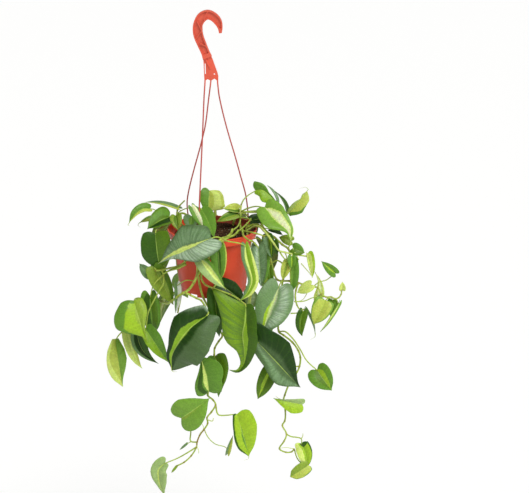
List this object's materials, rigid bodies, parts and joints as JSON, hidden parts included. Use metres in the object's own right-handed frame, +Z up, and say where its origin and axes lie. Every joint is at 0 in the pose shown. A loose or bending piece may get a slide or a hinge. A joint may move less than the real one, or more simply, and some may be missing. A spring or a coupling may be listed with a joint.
{
  "type": "potted heartleaf philodendron in a hanging pot",
  "caption": "Trailing heartleaf philodendron with variegated leaves, rooted in soil in a round plastic hanging pot with a moulded hook hanger.",
  "frame": {"origin": "where the hook's inner top rests on what the pot hangs from", "axes": "+Z up, +X to the right and +Y away from the front, which faces the viewer"},
  "size_m": [0.4119, 0.2398, 0.8408],
  "materials": {
    "pot_plastic": "terracotta red moulded plastic, semi-gloss with faint moulding lines",
    "hanger_plastic": "thin coral red moulded plastic, slightly translucent",
    "soil": "dark crumbly peat with pale specks",
    "foliage": "satin green leaves with lime, cream and silver variegation, on yellow-green stems"
  },
  "bodies": {
    "root": {"pot": "pot_plastic", "soil": "soil", "hanger_hook": "hanger_plastic", "strand_front": "hanger_plastic", "strand_left": "hanger_plastic", "strand_right": "hanger_plastic", "vine_left_top": "foliage", "vine_left_mid": "foliage", "vine_left_low": "foliage", "vine_front_left": "foliage", "vine_front_mid": "foliage", "vine_centre_trail": "foliage", "vine_top_centre": "foliage", "vine_right_top": "foliage", "vine_front_right": "foliage", "vine_right_mid": "foliage", "vine_right_far": "foliage", "vine_right_end": "foliage", "vine_back_left": "foliage", "vine_back_mid": "foliage", "vine_back_right": "foliage"}
  },
  "joints": []
}
